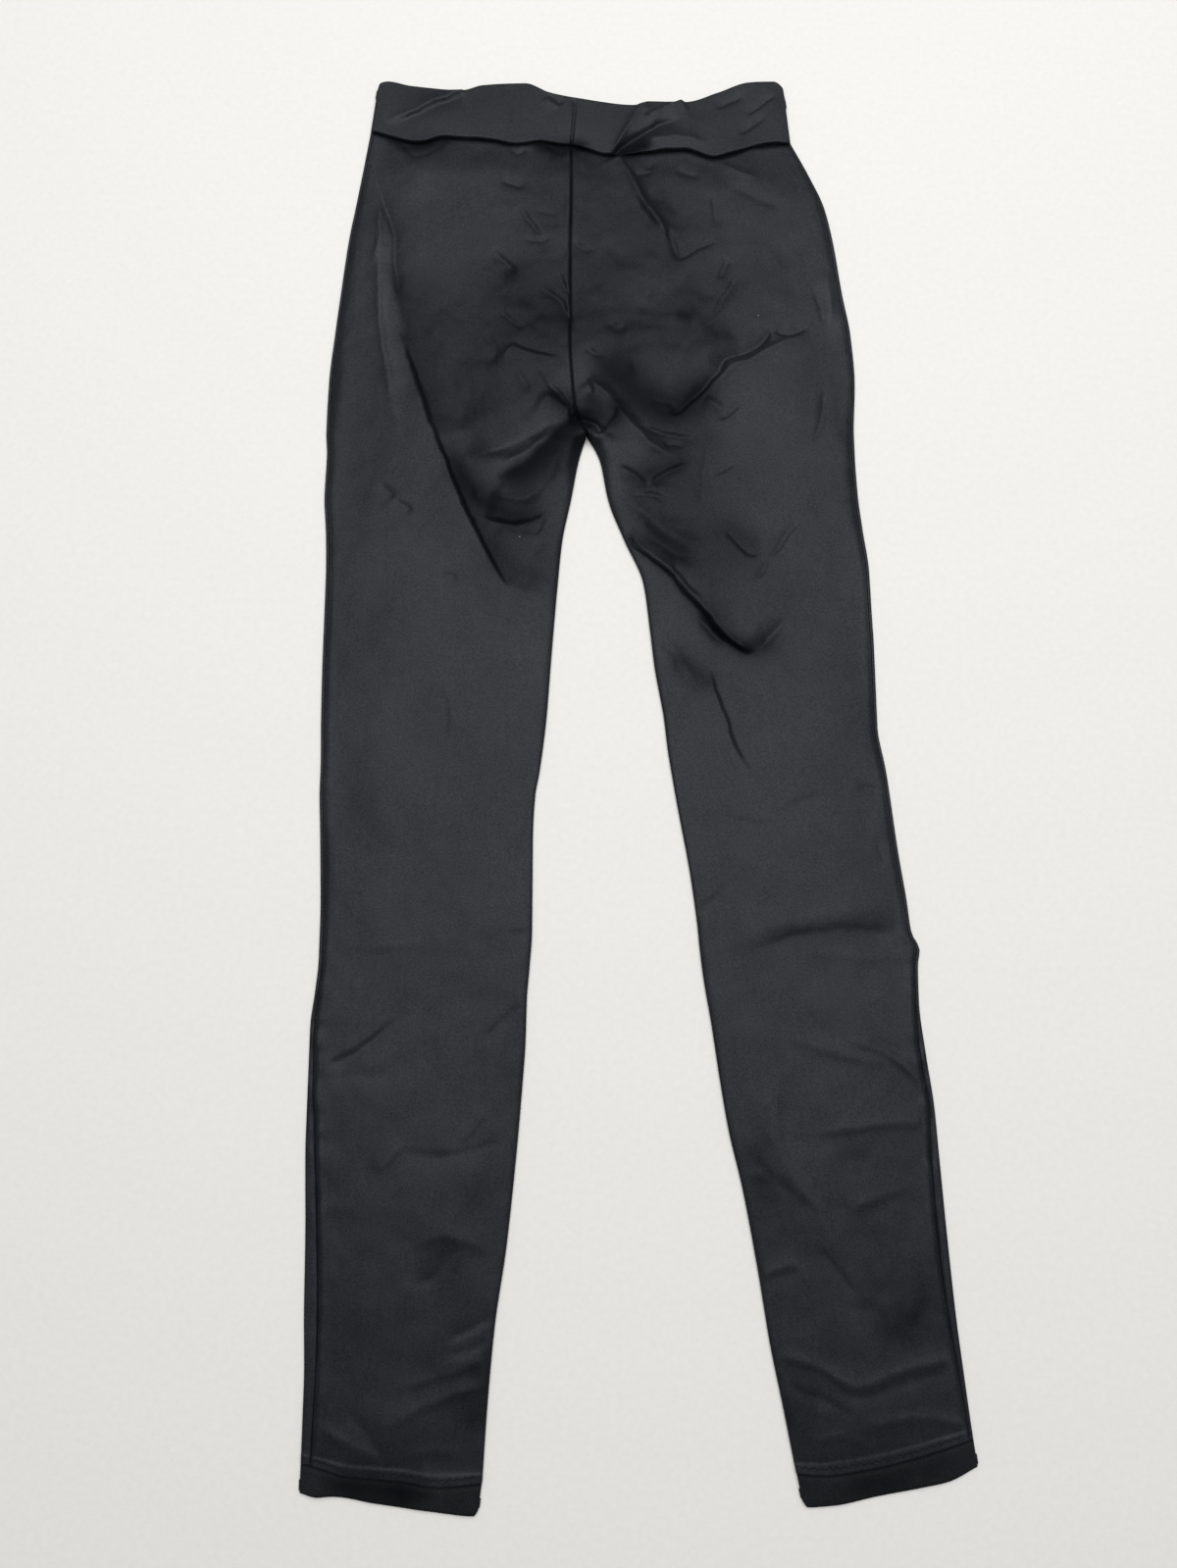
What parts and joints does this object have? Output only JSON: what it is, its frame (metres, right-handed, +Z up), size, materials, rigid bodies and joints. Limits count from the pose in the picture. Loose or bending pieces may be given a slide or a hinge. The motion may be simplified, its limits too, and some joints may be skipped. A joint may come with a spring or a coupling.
{
  "type": "cycling leggings",
  "caption": "Long close-fitting cycling leggings in dark stretch knit, lying flat with the front up: straight legs, a folded waistband and turned-up ankle hems.",
  "frame": {"origin": "on the table, under the middle of the garment's bounding box", "axes": "+Y from the ankle hems to the waistband, +X to the wearer's left as the garment lies front up, +Z up from the table"},
  "size_m": [0.3875, 0.9013, 0.0084],
  "materials": {
    "body_cloth": "smooth charcoal knit with a faint sheen",
    "under_cloth": "smooth charcoal knit with a faint sheen",
    "waistband_cloth": "smooth charcoal knit, folded double",
    "hem_cloth": "smooth charcoal knit, cover-stitched"
  },
  "bodies": {
    "root": {"front_leg_right": "body_cloth", "front_leg_left": "body_cloth", "back_leg_right": "under_cloth", "back_leg_left": "under_cloth", "waistband": "waistband_cloth", "hem_right": "hem_cloth", "hem_left": "hem_cloth"}
  },
  "joints": []
}
